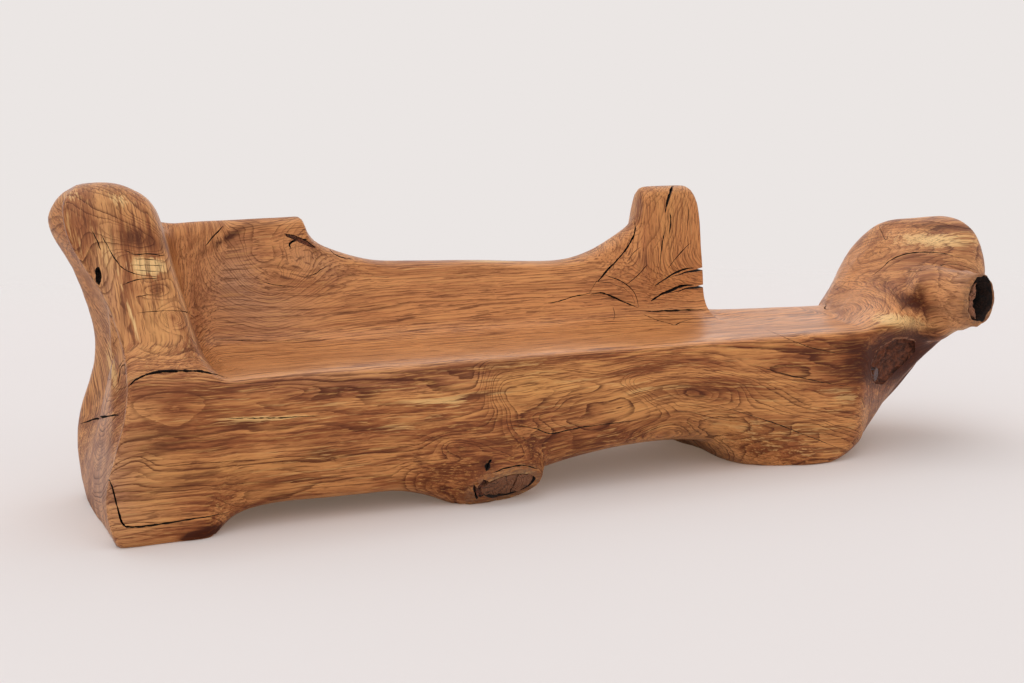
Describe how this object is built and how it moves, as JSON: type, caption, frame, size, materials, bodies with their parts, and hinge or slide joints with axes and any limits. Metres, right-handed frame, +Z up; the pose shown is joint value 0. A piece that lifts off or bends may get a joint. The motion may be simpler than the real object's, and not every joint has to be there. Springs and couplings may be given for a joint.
{
  "type": "carved log bench",
  "caption": "Long log bench with a high arm at the left, a scooped back that rises to a post, a low lobe with a hollow sawn branch at the right, and a dead knot under the front.",
  "frame": {"origin": "on the floor, under the middle of the bench's bounding box", "axes": "+X along the bench from the high arm to the branch, -Y to the sitter's front, +Z up"},
  "size_m": [3.0344, 0.7942, 0.8923],
  "materials": {
    "carved_wood": "smooth, oiled",
    "dead_wood": "sawn, dry",
    "bark": "rough bark",
    "grey_knot": "dry, matt"
  },
  "bodies": {
    "root": {"carved_trunk": "carved_wood", "post_patch": "carved_wood", "stub_heart": "dead_wood", "dead_knot_large_half": "dead_wood", "dead_knot_small_half": "dead_wood", "knot_bark": "bark", "recess_bark": "bark", "notch_bark": "bark", "recess_knot": "grey_knot"}
  },
  "joints": []
}
